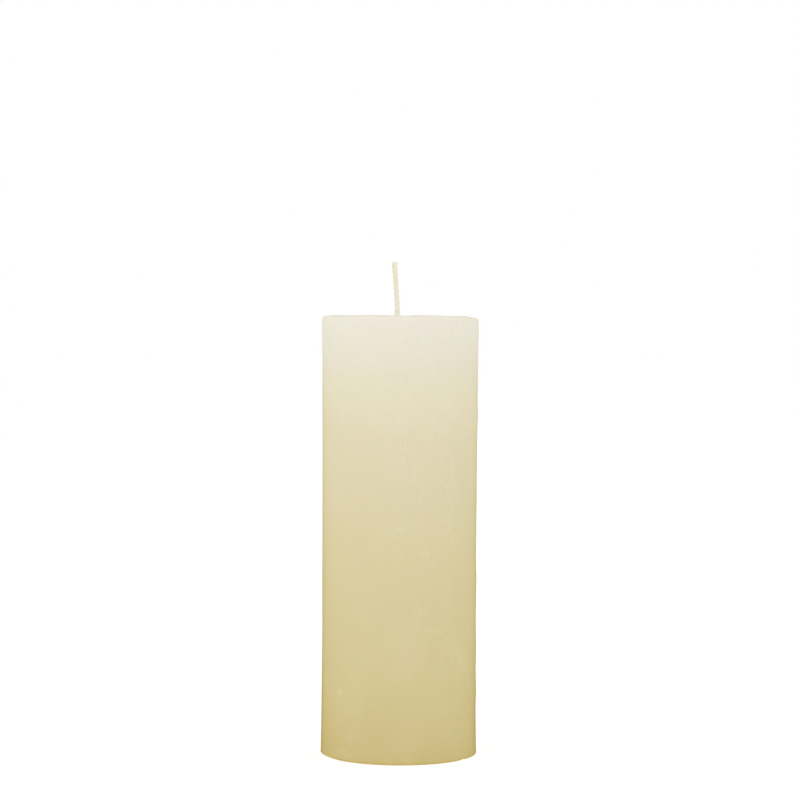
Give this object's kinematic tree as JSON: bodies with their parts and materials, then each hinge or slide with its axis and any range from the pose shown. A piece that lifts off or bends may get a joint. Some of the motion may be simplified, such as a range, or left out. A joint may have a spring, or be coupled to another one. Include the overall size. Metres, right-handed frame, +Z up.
{
  "type": "pillar candle",
  "caption": "Ivory pillar candle: a straight wax column with a soft rim and a shallow dish in the top, round a short plaited wick that leans slightly.",
  "frame": {"origin": "centre of the foot, on the surface that the candle stands on", "axes": "+Z up along the column, -Y towards the viewer of the picture, and the free wick leans towards -X"},
  "size_m": [0.068, 0.068, 0.2132],
  "materials": {
    "wax": "satin",
    "wick_cotton": "matte"
  },
  "bodies": {
    "root": {"wax_body": "wax", "wick": "wick_cotton"}
  },
  "joints": []
}
